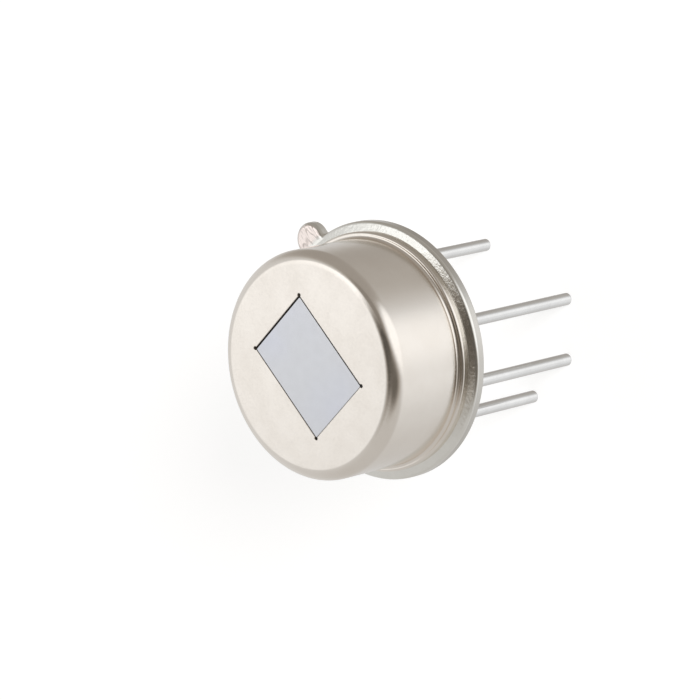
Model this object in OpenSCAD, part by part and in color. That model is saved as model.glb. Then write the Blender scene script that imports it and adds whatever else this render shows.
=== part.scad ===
// Passive infrared motion sensor in a round welded metal can with wire leads.
// Origin: centre of the header's seating face. +Z runs along the optical axis, out of the window.
// +X runs along the window's long side. All sizes are in millimetres.

/* [Header] */
// Diameter of the header's flange
flange_d = 9.2; // [8.9:0.1:9.8]
// Thickness of the header's flange
flange_t = 0.45; // [0.36:0.01:0.6]
// Rounding of the flange's upper edge
flange_round = 0.12; // [0.04:0.01:0.16]
// Rounding of the flange's lower edge
flange_foot_round = 0.04; // [0.02:0.01:0.12]
// Height of the raised platform above the flange
platform_h = 0.62; // [0.4:0.02:0.8]
// Chamfer round the platform's top
platform_chamfer = 0.1; // [0.04:0.01:0.2]
// Clearance between the platform and the inside of the can
platform_gap = 0.06; // [0.04:0.01:0.1]

/* [Index tab] */
// Width of the round-ended index tab
tab_w = 1.28; // [0.7:0.02:1.3]
// How far the tab reaches beyond the flange
tab_reach = 0.84; // [0.6:0.02:1]
// Direction of the tab, counted from +X
tab_angle = 176.5; // [165:0.5:190]
// Radius of the two fillets where the tab leaves the flange
tab_fillet = 0.1; // [0.1:0.05:0.5]
// Height of the step from the flange's top down to the tab's face
tab_drop = 0.05; // [0.02:0.01:0.06]
// Rounding of the tab's upper edge
tab_round = 0.16; // [0.03:0.01:0.17]

/* [Can] */
// Outer diameter of the can
can_d = 8.1; // [7.8:0.05:8.3]
// Height of the can's face above the seating face
height = 4; // [3.8:0.05:4.6]
// Thickness of the can's wall and face
wall_t = 0.25; // [0.18:0.01:0.3]
// Outer radius of the can's shoulder
shoulder_r = 0.45; // [0.35:0.01:0.6]
// Diameter of the can's weld flange
weld_flange_d = 8.52; // [8.5:0.02:8.74]
// Thickness of the can's weld flange
weld_flange_t = 0.28; // [0.2:0.01:0.36]
// Rounding of the weld flange's upper edge
weld_flange_round = 0.08; // [0.02:0.01:0.09]
// Radius of the fillet between the weld flange and the wall
foot_fillet = 0.05; // [0.04:0.01:0.14]
// Radius of the can's inner bottom edge
mouth_round = 0.08; // [0.04:0.01:0.12]

/* [Window] */
// Length of the opening in the can's face, along X
window_l = 4; // [3.4:0.1:4.4]
// Width of the opening in the can's face, along Y
window_w = 3; // [2.4:0.1:3.4]
// Radius of the small round relief in each corner of the opening
window_relief = 0.05; // [0.03:0.01:0.1]
// Gap between the filter and the edge of the opening
filter_gap = 0.05; // [0.03:0.01:0.1]
// How far the filter sits off the opening's centre along X, as a share of the gap
filter_offset_x = 0.6; // [-0.8:0.1:0.8]
// How far the filter sits off the opening's centre along Y, as a share of the gap
filter_offset_y = -0.7; // [-0.8:0.1:0.8]
// Depth of the filter's face below the can's face
filter_recess = 0.03; // [0.02:0.01:0.1]
// Thickness of the filter
filter_t = 0.5; // [0.4:0.02:0.6]
// Chamfer on the filter's four upright corners
filter_chamfer = 0.05; // [0.04:0.01:0.16]
// Depth of the adhesive in the gap below the can's face
bond_depth = 0.14; // [0.1:0.01:0.18]
// How far the adhesive bead reaches out under the can's face
bond_reach = 0.4; // [0.2:0.02:0.5]
// Height of the adhesive bead on the filter's side, below the can's face plate
bond_drop = 0.2; // [0.1:0.02:0.25]

/* [Leads] */
// Diameter of the leads
lead_d = 0.45; // [0.4:0.01:0.5]
// Length of the leads below the seating face
lead_len = 6.9; // [5:0.1:14]
// Diameter of the circle that the leads stand on
lead_circle_d = 5.8; // [5.6:0.05:5.9]
// Direction of the first place on the lead circle, counted from +X
lead_start = 22.5; // [20:0.5:25]
// Rounding of the lead's cut end
lead_tip_round = 0.06; // [0.02:0.01:0.1]
// How far a lead stands out of the circuit board inside the can
lead_stub = 0.36; // [0.32:0.01:0.4]

/* [Seals] */
// Diameter of a glass bead in the header
seal_d = 1.16; // [1:0.02:1.2]
// Depth of the hollow in the face of a glass bead
seal_hollow = 0.05; // [0.02:0.01:0.08]
// Width of the braze between the earth lead and the header
braze_gap = 0.16; // [0.1:0.01:0.2]
// Height and width of the braze fillet on top of the header
braze_fillet = 0.14; // [0.08:0.01:0.2]

/* [Circuit board] */
// Gap between the can's wall and the circuit board
board_gap = 0.28; // [0.15:0.01:0.35]
// Thickness of the circuit board
board_t = 0.4; // [0.3:0.02:0.5]
// Height of the circuit board above the header's platform
board_lift = 0.44; // [0.34:0.02:0.5]
// Clearance between a lead and its hole in the board
board_hole_gap = 0.16; // [0.08:0.01:0.2]
// Height and width of a solder joint's fillet
solder_fillet = 0.26; // [0.22:0.01:0.3]

/* [Sensing element] */
// Length of the ceramic plate, along X
element_l = 4.1; // [3.6:0.1:4.4]
// Width of the ceramic plate, along Y
element_w = 2.4; // [2:0.1:2.6]
// Thickness of the ceramic plate
element_t = 0.12; // [0.1:0.01:0.2]
// Width of a sensing strip, along X
strip_l = 1; // [0.8:0.05:1.1]
// Length of a sensing strip, along Y
strip_w = 2; // [1.6:0.05:2.2]
// Gap between the two sensing strips
strip_gap = 1; // [0.8:0.05:1.1]
// Thickness of the metal strips
strip_t = 0.02; // [0.01:0.01:0.03]
// Width of a support rail, along X
rail_w = 0.45; // [0.3:0.05:0.5]
// Height of a support rail
rail_h = 0.62; // [0.56:0.02:0.7]
// Thickness of the conductive adhesive on a rail
element_bond_t = 0.04; // [0.02:0.01:0.06]
// Length of the conductive adhesive on a rail, along Y
element_bond_w = 1.9; // [1.4:0.1:2]

/* [Electronics] */
// Length of the signal chip, along X
chip_l = 1.4; // [1:0.1:1.6]
// Width of the signal chip, along Y
chip_w = 1.2; // [1:0.1:1.4]
// Thickness of the signal chip
chip_t = 0.25; // [0.2:0.01:0.3]
// Thickness of a bond wire
wire_d = 0.04; // [0.03:0.01:0.05]
// Distance that a bond wire spans
wire_span = 0.44; // [0.36:0.02:0.5]
// Distance from the chip's edge to its wire pads
wire_inset = 0.14; // [0.1:0.01:0.2]
// Spacing of the wires along the chip's side
wire_pitch = 0.4; // [0.3:0.02:0.5]
// How far the chip resistor and the chip capacitor stand inside the lead circle
passive_inset = 0.05; // [0:0.01:0.1]
// Length of the chip resistor and the chip capacitor
passive_l = 1; // [0.8:0.05:1]
// Width of the chip resistor and the chip capacitor
passive_w = 0.5; // [0.4:0.02:0.5]
// Thickness of the chip resistor
resistor_t = 0.32; // [0.25:0.01:0.4]
// Thickness of the chip capacitor
capacitor_t = 0.48; // [0.4:0.01:0.55]
// Length of the metal ends of the chip parts
terminal_l = 0.22; // [0.15:0.01:0.28]
// Thickness of the metal ends of the chip parts
terminal_t = 0.02; // [0.01:0.01:0.03]

/* [Hidden] */
$fn = 64;
// Places on the lead circle, and the ones that hold a lead, counted from the tab
lead_places = 8;
lead_step = 360 / lead_places;
lead_place_list = [4, 5, 7, 0, 1, 3];
earth_place = 5;
// The two empty places on the lead circle, where the chip parts stand
free_place_list = [2, 6];

flange_r = flange_d / 2;
can_r = can_d / 2;
can_inner_r = can_r - wall_t;
weld_flange_r = weld_flange_d / 2;
platform_r = can_inner_r - platform_gap;
platform_z = flange_t + platform_h;
tab_z = flange_t - tab_drop;
weld_flange_z = flange_t + weld_flange_t;
weld_foot_round = 0.02;
// The foot's fillet ends where the weld flange's rounded edge begins
foot_r = min(foot_fillet, weld_flange_r - can_r - weld_flange_round);
ceiling_z = height - wall_t;
inner_shoulder_r = shoulder_r - wall_t;
shoulder_z = height - shoulder_r;

filter_l = window_l - 2 * filter_gap;
filter_w = window_w - 2 * filter_gap;
filter_shift_x = filter_gap * filter_offset_x;
filter_shift_y = filter_gap * filter_offset_y;
filter_top_z = height - filter_recess;
filter_z = filter_top_z - filter_t;

lead_r = lead_d / 2;
lead_circle_r = lead_circle_d / 2;
seal_r = seal_d / 2;
braze_r = lead_r + braze_gap;

board_r = can_inner_r - board_gap;
board_z = platform_z + board_lift;
board_top_z = board_z + board_t;
board_hole_r = lead_r + board_hole_gap;
lead_top_z = board_top_z + lead_stub;

rail_x = (element_l - rail_w) / 2;
rail_top_z = board_top_z + rail_h;
element_z = rail_top_z + element_bond_t;
element_top_z = element_z + element_t;
strip_x = (strip_gap + strip_l) / 2;

chip_top_z = board_top_z + chip_t;
wire_r = wire_d / 2;
wire_arc_r = wire_span / 2;
wire_pad_y = chip_w / 2 - wire_inset;
passive_circle_r = lead_circle_r - passive_inset;
// Overlap that joins solids that are cut or fused, never a clearance
over = 0.02;

// Moves its children to a place on the lead circle
module at_place(place, r = lead_circle_r) {
    rotate([0, 0, lead_start + lead_step * place])
        translate([r, 0, 0])
            children();
}

// A block centred on the Z axis, standing on z
module block(l, w, h, z) {
    translate([-l / 2, -w / 2, z])
        cube([l, w, h]);
}

// The opening in the can's face, with a small round relief in each corner
module window_outline() {
    square([window_l, window_w], center = true);
    for (x = [-1, 1], y = [-1, 1])
        translate([x * window_l / 2, y * window_w / 2])
            circle(r = window_relief, $fn = 32);
}

// The filter's outline, grown by a margin
module filter_outline(margin, corner) {
    translate([filter_shift_x, filter_shift_y])
        cut_rect(filter_l + 2 * margin, filter_w + 2 * margin, corner);
}

// A rectangle with cut corners, centred on the origin
module cut_rect(l, w, c) {
    polygon([
        [l / 2 - c, -w / 2], [l / 2, -w / 2 + c], [l / 2, w / 2 - c], [l / 2 - c, w / 2],
        [-l / 2 + c, w / 2], [-l / 2, w / 2 - c], [-l / 2, -w / 2 + c], [-l / 2 + c, -w / 2]
    ]);
}

// Half section of a disc from z0 to z1 with a rounded upper and a rounded lower edge
module disc_section(r, z0, z1, upper, lower) {
    translate([0, z0 + lower])
        square([r, z1 - z0 - upper - lower]);
    translate([0, z1 - upper - over])
        square([r - upper, upper + over]);
    translate([0, z0])
        square([r - lower, lower + over]);
    translate([r - upper, z1 - upper])
        circle(r = upper, $fn = 32);
    translate([r - lower, z0 + lower])
        circle(r = lower, $fn = 32);
}

// Concave fillet in the corner at the origin, between +X and +Y
module fillet_section(r) {
    difference() {
        translate([-over, -over])
            square(r + over);
        translate([r, r])
            circle(r = r, $fn = 32);
    }
}

// HEADER: flange with the index tab, platform, and holes for the seals

module header_section() {
    disc_section(flange_r, 0, flange_t, flange_round, flange_foot_round);
    translate([0, flange_t - over])
        square([platform_r, platform_h - platform_chamfer + over]);
    polygon([
        [0, platform_z], [platform_r - platform_chamfer, platform_z],
        [platform_r, platform_z - platform_chamfer], [0, platform_z - platform_chamfer]
    ]);
}

// Half of the tab's cross-section: its width along X and its thickness along Y
module tab_half_section() {
    disc_section(tab_w / 2, 0, tab_z, tab_round, flange_foot_round);
}

// The tab runs from inside the flange to the centre of its round end
module index_tab() {
    end_r = flange_r + tab_reach - tab_w / 2;
    root_r = flange_r - flange_round - tab_fillet;
    rotate([0, 0, tab_angle]) {
        translate([root_r, 0, 0])
            rotate([90, 0, 90])
                linear_extrude(end_r - root_r) {
                    tab_half_section();
                    mirror([1, 0])
                        tab_half_section();
                }
        translate([end_r, 0, 0])
            rotate_extrude()
                tab_half_section();
        for (side = [0, 1])
            mirror([0, side, 0])
                tab_neck();
    }
}

// Fillet between the flange's rim and one side of the tab.
// Its circle touches the rim from outside and the tab's side.
module tab_neck() {
    centre_y = tab_w / 2 + tab_fillet;
    centre_x = sqrt(pow(flange_r + tab_fillet, 2) - pow(centre_y, 2));
    touch = flange_r / (flange_r + tab_fillet);
    translate([0, 0, flange_foot_round])
        linear_extrude(tab_z - flange_foot_round - tab_round)
            difference() {
                polygon([
                    [centre_x, tab_w / 2 - over],
                    [centre_x, tab_w / 2 + over / 2],
                    [centre_x * touch, centre_y * touch],
                    [(centre_x - tab_fillet) * touch, tab_w / 2 - over]
                ]);
                translate([centre_x, centre_y])
                    circle(r = tab_fillet, $fn = 48);
            }
}

module header() {
    color([0.80, 0.77, 0.72])
        difference() {
            union() {
                rotate_extrude($fn = 128)
                    header_section();
                index_tab();
            }
            for (place = lead_place_list)
                at_place(place)
                    translate([0, 0, -over])
                        cylinder(r = place == earth_place ? braze_r : seal_r, h = platform_z + 2 * over);
        }
}

// CAN: drawn shell with a rounded shoulder, a weld flange and the window's opening

module cap_outer_section() {
    translate([0, flange_t])
        square([can_r, shoulder_z - flange_t]);
    translate([0, shoulder_z - over])
        square([can_r - shoulder_r, shoulder_r + over]);
    translate([can_r - shoulder_r, shoulder_z])
        circle(r = shoulder_r, $fn = 64);
    disc_section(weld_flange_r, flange_t, weld_flange_z, weld_flange_round, weld_foot_round);
    translate([can_r, weld_flange_z])
        fillet_section(foot_r);
}

module cap_inner_section() {
    translate([0, flange_t - over])
        square([can_inner_r, shoulder_z - flange_t + over]);
    translate([0, shoulder_z - over])
        square([can_inner_r - inner_shoulder_r, inner_shoulder_r + over]);
    translate([can_inner_r - inner_shoulder_r, shoulder_z])
        circle(r = inner_shoulder_r, $fn = 48);
    translate([can_inner_r, flange_t])
        fillet_section(mouth_round);
}

module cap() {
    color([0.86, 0.83, 0.79])
        difference() {
            rotate_extrude($fn = 128)
                difference() {
                    cap_outer_section();
                    cap_inner_section();
                }
            translate([0, 0, ceiling_z - over])
                linear_extrude(wall_t + 2 * over)
                    window_outline();
        }
}

module filter_window() {
    color([0.74, 0.76, 0.80])
        translate([0, 0, filter_z])
            linear_extrude(filter_t)
                filter_outline(0, filter_chamfer);
}

// Adhesive in the gap round the filter, with a sloping bead under the can's face
module filter_bond() {
    color([0.16, 0.15, 0.14])
        difference() {
            union() {
                translate([0, 0, ceiling_z])
                    linear_extrude(wall_t - bond_depth)
                        window_outline();
                hull() {
                    translate([0, 0, ceiling_z - over])
                        linear_extrude(over)
                            filter_outline(bond_reach, bond_reach);
                    translate([0, 0, ceiling_z - bond_drop])
                        linear_extrude(over)
                            filter_outline(over, filter_chamfer);
                }
            }
            translate([0, 0, ceiling_z - bond_drop - over])
                linear_extrude(bond_drop + wall_t + 2 * over)
                    filter_outline(0, filter_chamfer);
        }
}

// LEADS and their seals

// A wire with a rounded cut end, which runs through the header to the circuit board
module lead(i) {
    color([0.78, 0.76, 0.73])
        at_place(lead_place_list[i])
            rotate_extrude($fn = 48) {
                translate([0, -lead_len + lead_tip_round])
                    square([lead_r, lead_len - lead_tip_round + lead_top_z]);
                translate([0, -lead_len])
                    square([lead_r - lead_tip_round, lead_tip_round + over]);
                translate([lead_r - lead_tip_round, -lead_len + lead_tip_round])
                    circle(r = lead_tip_round, $fn = 32);
            }
}

// A glass bead with a hollow ring in both faces, where the molten glass wetted lead and hole
module glass_seal(i) {
    ring_w = seal_r - lead_r;
    hollow_r = (pow(ring_w / 2, 2) + pow(seal_hollow, 2)) / (2 * seal_hollow);
    color([0.14, 0.20, 0.20])
        at_place(lead_place_list[i])
            rotate_extrude()
                difference() {
                    translate([lead_r, 0])
                        square([ring_w, platform_z]);
                    for (z = [seal_hollow - hollow_r, platform_z - seal_hollow + hollow_r])
                        translate([lead_r + ring_w / 2, z])
                            circle(r = hollow_r, $fn = 96);
                }
}

// Braze that fills the earth lead's hole and climbs the lead on top of the platform
module ground_braze() {
    color([0.72, 0.66, 0.52])
        at_place(earth_place)
            rotate_extrude() {
                translate([lead_r, 0])
                    square([braze_gap, platform_z]);
                translate([lead_r, platform_z])
                    intersection() {
                        fillet_section(braze_fillet);
                        square(braze_fillet);
                    }
            }
}

// CIRCUIT BOARD with its solder joints

module circuit_board() {
    color([0.13, 0.38, 0.24])
        difference() {
            translate([0, 0, board_z])
                cylinder(r = board_r, h = board_t, $fn = 96);
            for (place = lead_place_list)
                at_place(place)
                    translate([0, 0, board_z - over])
                        cylinder(r = board_hole_r, h = board_t + 2 * over, $fn = 32);
        }
}

// Solder round one lead: the filled hole, and a fillet on both faces of the board
module solder_joint() {
    rotate_extrude($fn = 32) {
        translate([lead_r, board_z])
            square([board_hole_gap, board_t]);
        translate([lead_r, board_top_z])
            intersection() {
                fillet_section(solder_fillet);
                square(solder_fillet);
            }
        translate([lead_r, board_z])
            mirror([0, 1])
                intersection() {
                    fillet_section(solder_fillet);
                    square(solder_fillet);
                }
    }
}

module board_solder() {
    color([0.70, 0.71, 0.73])
        for (place = lead_place_list)
            at_place(place)
                solder_joint();
}

module signal_chip() {
    color([0.22, 0.22, 0.26])
        block(chip_l, chip_w, chip_t, board_top_z);
}

// One bond wire: an arch from the chip's pad, and a leg down to the board
module bond_wire() {
    translate([0, wire_arc_r, chip_top_z])
        rotate([90, 0, 90])
            rotate_extrude(angle = 180, $fn = 32)
                translate([wire_arc_r, 0])
                    circle(r = wire_r, $fn = 16);
    translate([0, 2 * wire_arc_r, board_top_z])
        cylinder(r = wire_r, h = chip_t, $fn = 16);
}

module bond_wires() {
    color([0.85, 0.68, 0.32])
        for (turn = [0, 180], k = [-1:1])
            rotate([0, 0, turn])
                translate([k * wire_pitch, wire_pad_y, 0])
                    bond_wire();
}

// The ceramic body of a chip part, between its metal ends
module passive_body(h) {
    block(passive_l - 2 * terminal_t, passive_w - 2 * terminal_t, h - 2 * terminal_t,
          board_top_z + terminal_t);
}

// Two metal caps over the ends of a chip part
module passive_ends(h) {
    difference() {
        block(passive_l, passive_w, h, board_top_z);
        passive_body(h);
        block(passive_l - 2 * terminal_l, passive_w + 2 * over, h + 2 * over, board_top_z - over);
    }
}

// A chip part lies across an empty place on the lead circle
module at_free_place(i) {
    at_place(free_place_list[i], passive_circle_r)
        rotate([0, 0, 90])
            children();
}

module chip_resistor() {
    color([0.12, 0.12, 0.13])
        at_free_place(0)
            passive_body(resistor_t);
}

module chip_capacitor() {
    color([0.66, 0.55, 0.42])
        at_free_place(1)
            passive_body(capacitor_t);
}

module chip_terminals() {
    color([0.75, 0.75, 0.76]) {
        at_free_place(0)
            passive_ends(resistor_t);
        at_free_place(1)
            passive_ends(capacitor_t);
    }
}

// SENSING ELEMENT on its two rails

module support_rail(side) {
    color([0.93, 0.92, 0.88])
        translate([side * rail_x, 0, 0])
            block(rail_w, element_w, rail_h, board_top_z);
}

module element_bonds() {
    color([0.62, 0.62, 0.64])
        for (side = [-1, 1])
            translate([side * rail_x, 0, 0])
                block(rail_w, element_bond_w, element_bond_t, rail_top_z);
}

module pyro_element() {
    color([0.80, 0.74, 0.58])
        block(element_l, element_w, element_t, element_z);
}

module element_electrodes() {
    color([0.45, 0.45, 0.48])
        for (side = [-1, 1])
            translate([side * strip_x, 0, 0])
                block(strip_l, strip_w, strip_t, element_top_z);
}

header();
cap();
filter_window();
filter_bond();
lead(0);  // lead_1
lead(1);  // lead_2
lead(2);  // lead_3
lead(3);  // lead_4
lead(4);  // lead_5
lead(5);  // lead_6
glass_seal(0);  // glass_seal_1
glass_seal(2);  // glass_seal_3
glass_seal(3);  // glass_seal_4
glass_seal(4);  // glass_seal_5
glass_seal(5);  // glass_seal_6
ground_braze();
circuit_board();
board_solder();
signal_chip();
bond_wires();
chip_resistor();
chip_capacitor();
chip_terminals();
support_rail(-1);  // element_support_left
support_rail(1);  // element_support_right
element_bonds();
pyro_element();
element_electrodes();
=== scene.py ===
"""Looks of an infrared motion sensor: a metal can on a flanged header, with a filter and wire leads.

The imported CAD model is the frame. The visible metal, glass and filter are modelled again here with smooth
surfaces, and the parts sealed inside the can keep their CAD meshes and get their own materials.
Shapes are worked out in millimetres and written to the meshes in metres.
"""

from __future__ import annotations

import logging
import math
from dataclasses import dataclass, field
from enum import Enum
from typing import Any, Iterable, Iterator, Mapping, Sequence, Union

import bmesh
import bpy
from mathutils import Matrix, Vector

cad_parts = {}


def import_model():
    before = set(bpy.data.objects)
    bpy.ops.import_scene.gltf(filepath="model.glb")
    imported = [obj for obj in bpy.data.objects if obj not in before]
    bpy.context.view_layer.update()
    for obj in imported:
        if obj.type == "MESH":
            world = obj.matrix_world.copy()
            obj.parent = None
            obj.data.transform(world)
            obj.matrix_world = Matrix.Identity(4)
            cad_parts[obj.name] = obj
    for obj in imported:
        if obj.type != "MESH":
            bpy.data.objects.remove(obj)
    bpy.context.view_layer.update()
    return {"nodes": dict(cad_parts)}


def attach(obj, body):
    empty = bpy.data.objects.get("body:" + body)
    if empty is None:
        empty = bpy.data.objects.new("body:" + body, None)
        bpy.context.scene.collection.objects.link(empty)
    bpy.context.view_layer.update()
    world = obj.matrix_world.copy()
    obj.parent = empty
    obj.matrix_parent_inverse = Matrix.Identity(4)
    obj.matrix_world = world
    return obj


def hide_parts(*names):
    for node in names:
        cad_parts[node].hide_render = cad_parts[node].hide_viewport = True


LOG = logging.getLogger("pir_sensor")
MM = 0.001
FULL_TURN = 2 * math.pi
QUARTER = math.pi / 2

Point = tuple[float, float, float]
Span = tuple[float, float]
Colour = tuple[float, float, float, float]
Value = Union["Signal", float, Sequence[float]]
Vert = bmesh.types.BMVert
Edge = bmesh.types.BMEdge
Face = bmesh.types.BMFace
Object = bpy.types.Object

# Points nearer than this are one point, and edges this near to a circle lie on it, in millimetres
MERGE = 1e-4
NEAR = 1e-3
# The corners of a rectangle round the origin, anticlockwise from the lower right
CORNERS = ((1, -1), (1, 1), (-1, 1), (-1, -1))
# Values of a noise texture: where patches turn from one tone to the other, and where nearly all of it lies
PATCHES: Span = (0.35, 0.7)
MOST: Span = (0.3, 0.7)


def tone(red: float, green: float, blue: float) -> Colour:
    """Returns an opaque linear colour."""
    return (red, green, blue, 1.0)


WHITE = tone(1.0, 1.0, 1.0)


def place_on_circle(radius: float, degrees: float) -> tuple[float, float]:
    """Returns the X and Y of a point on a circle round the origin."""
    turn = math.radians(degrees)
    return radius * math.cos(turn), radius * math.sin(turn)


def quarter_steps(count: int) -> Iterator[Span]:
    """Yields the angles where each of the equal steps of a quarter turn starts and ends."""
    for k in range(count):
        yield QUARTER * k / count, QUARTER * (k + 1) / count


# Shader maths


class Signal:
    """A node socket that takes part in Python expressions. Each operator adds one Math node."""

    def __init__(self, tree: NodeBoard, socket: bpy.types.NodeSocket | None) -> None:
        """Keeps the board and the socket."""
        self.tree = tree
        self.socket = socket

    def _math(self, operation: str, *values: Value) -> Signal:
        """Adds a Math node.

        Args:
            operation: The node's operation.
            values: Its inputs, in order.

        Returns:
            The node's value.
        """
        return self.tree.node("ShaderNodeMath", {"operation": operation}, dict(enumerate(values)))

    def __add__(self, other: Value) -> Signal:
        """Returns self + other."""
        return self._math("ADD", self, other)

    def __radd__(self, other: Value) -> Signal:
        """Returns other + self."""
        return self._math("ADD", other, self)

    def __sub__(self, other: Value) -> Signal:
        """Returns self - other."""
        return self._math("SUBTRACT", self, other)

    def __rsub__(self, other: Value) -> Signal:
        """Returns other - self."""
        return self._math("SUBTRACT", other, self)

    def __mul__(self, other: Value) -> Signal:
        """Returns self * other."""
        return self._math("MULTIPLY", self, other)

    def __rmul__(self, other: Value) -> Signal:
        """Returns other * self."""
        return self._math("MULTIPLY", other, self)

    def root(self) -> Signal:
        """Returns the square root of self."""
        return self._math("SQRT", self)

    def band(self, low: float, high: float, start: float = 0.0, end: float = 1.0) -> Signal:
        """Maps low..high to start..end on a smooth step.

        Args:
            low: The value that gives start.
            high: The value that gives end.
            start: The result at and below low.
            end: The result at and above high.

        Returns:
            The mapped value.
        """
        return self.tree.node(
            "ShaderNodeMapRange",
            {"interpolation_type": "SMOOTHSTEP"},
            {"Value": self, "From Min": low, "From Max": high, "To Min": start, "To Max": end},
        )

    def fade(self, low: float, high: float) -> Signal:
        """Returns 1 at and below low, falling to 0 at high on a smooth step."""
        return self.band(low, high, 1.0, 0.0)


class NodeBoard:
    """A node tree that is cleared and then filled node by node."""

    def __init__(self, tree: bpy.types.NodeTree) -> None:
        """Clears the tree."""
        self.nodes = tree.nodes
        self.links = tree.links
        self.nodes.clear()

    def node(
        self,
        kind: str,
        settings: Mapping[str, Any] | None = None,
        inputs: Mapping[Union[str, int], Value] | None = None,
        output: Union[str, int] = 0,
    ) -> Signal:
        """Adds a node of any type.

        Args:
            kind: The node's type.
            settings: Its properties, which are set first.
            inputs: Values or links for its sockets, by name or number.
            output: The output that is returned.

        Returns:
            The output as a signal, empty for a node that has none.
        """
        node = self.nodes.new(kind)
        for name, value in (settings or {}).items():
            setattr(node, name, value)
        for name, value in (inputs or {}).items():
            if isinstance(value, Signal):
                self.links.new(value.socket, node.inputs[name])
            else:
                node.inputs[name].default_value = value
        return Signal(self, node.outputs[output] if node.outputs else None)

    def place_mm(self, stretch: Point = (1.0, 1.0, 1.0)) -> Signal:
        """Returns the object coordinates in millimetres, each times its stretch."""
        coordinates = self.node("ShaderNodeTexCoord", output="Object")
        inputs = {"Vector": coordinates, "Scale": tuple(s / MM for s in stretch)}
        return self.node("ShaderNodeMapping", {"vector_type": "POINT"}, inputs)

    def noise(self, place: Signal, scale: float, detail: float, rough: float = 0.5) -> Signal:
        """Adds a noise texture.

        Args:
            place: Where it is read.
            scale: Its scale, per unit of place.
            detail: Its number of octaves.
            rough: How strong its finer octaves are.

        Returns:
            Its value, about 0.5.
        """
        return self.node(
            "ShaderNodeTexNoise",
            {"noise_dimensions": "3D"},
            {"Vector": place, "Scale": scale, "Detail": detail, "Roughness": rough},
        )

    def cells(self, place: Signal, scale: float) -> Signal:
        """Returns the distance to the nearest point of a Voronoi texture."""
        return self.node("ShaderNodeTexVoronoi", {"feature": "F1"}, {"Vector": place, "Scale": scale})

    def blend(self, share: Value, one: Value, two: Value) -> Signal:
        """Mixes two colours.

        Args:
            share: The share of two.
            one: The first colour.
            two: The second colour.

        Returns:
            The mixed colour.
        """
        return self.node(
            "ShaderNodeMix",
            {"data_type": "RGBA", "clamp_factor": True},
            {0: share, 6: one, 7: two},
            output=2,
        )

    def bump(
        self, height: Signal, depth_mm: float, strength: float = 1.0, under: Signal | None = None
    ) -> Signal:
        """Turns a height into a normal.

        Args:
            height: The height, about 0 to 1.
            depth_mm: How deep a height of 1 is.
            strength: The share of the effect.
            under: The normal that it is laid on, if there is one.

        Returns:
            The bumped normal.
        """
        inputs: dict[str, Value] = {"Strength": strength, "Distance": depth_mm * MM, "Height": height}
        if under is not None:
            inputs["Normal"] = under
        return self.node("ShaderNodeBump", inputs=inputs)

    def split(self, place: Signal) -> tuple[Signal, Signal, Signal]:
        """Returns the three parts of a vector."""
        first = self.node("ShaderNodeSeparateXYZ", inputs={0: place})
        outputs = first.socket.node.outputs
        return first, Signal(self, outputs[1]), Signal(self, outputs[2])


# Finishes


@dataclass(frozen=True)
class Finish:
    """A surface finish. Each kind fills the sockets of one Principled shader.

    Texture scales are per millimetre. Wear is how far the roughness falls and rises with a texture.
    """

    name: str
    colour: Colour
    shade: Colour
    roughness: float
    metallic: float = 0.0
    mottle_scale: float = 2.2
    grain_scale: float = 24.0
    grain_mm: float = 0.002
    wear: Span = (-0.05, 0.08)

    def sockets(self, board: NodeBoard) -> dict[str, Value]:
        """Gives the shader's varying sockets.

        Args:
            board: The material's nodes.

        Returns:
            The value or link of each socket, by name.
        """
        place = board.place_mm()
        mottle = board.noise(place, self.mottle_scale, detail=4.0)
        grain = board.noise(place, self.grain_scale, detail=3.0)
        return {
            "Base Color": board.blend(mottle.band(*PATCHES), self.colour, self.shade),
            "Roughness": self.worn(grain, MOST),
            "Normal": board.bump(grain, self.grain_mm),
        }

    def worn(self, texture: Signal, span: Span) -> Signal:
        """Returns the roughness, which follows a texture over a span of its values."""
        least, most = (self.roughness + change for change in self.wear)
        return texture.band(*span, least, most)

    def constants(self) -> dict[str, Value]:
        """Returns the sockets that are the same all over the surface."""
        return {"Metallic": self.metallic}

    def material(self) -> bpy.types.Material:
        """Returns the finish's material, made once."""
        known = bpy.data.materials.get(self.name)
        if known is not None:
            return known
        made = bpy.data.materials.new(self.name)
        made.use_nodes = True
        board = NodeBoard(made.node_tree)
        shader = board.node("ShaderNodeBsdfPrincipled", inputs={**self.constants(), **self.sockets(board)})
        board.node("ShaderNodeOutputMaterial", inputs={"Surface": shader})
        return made


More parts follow.
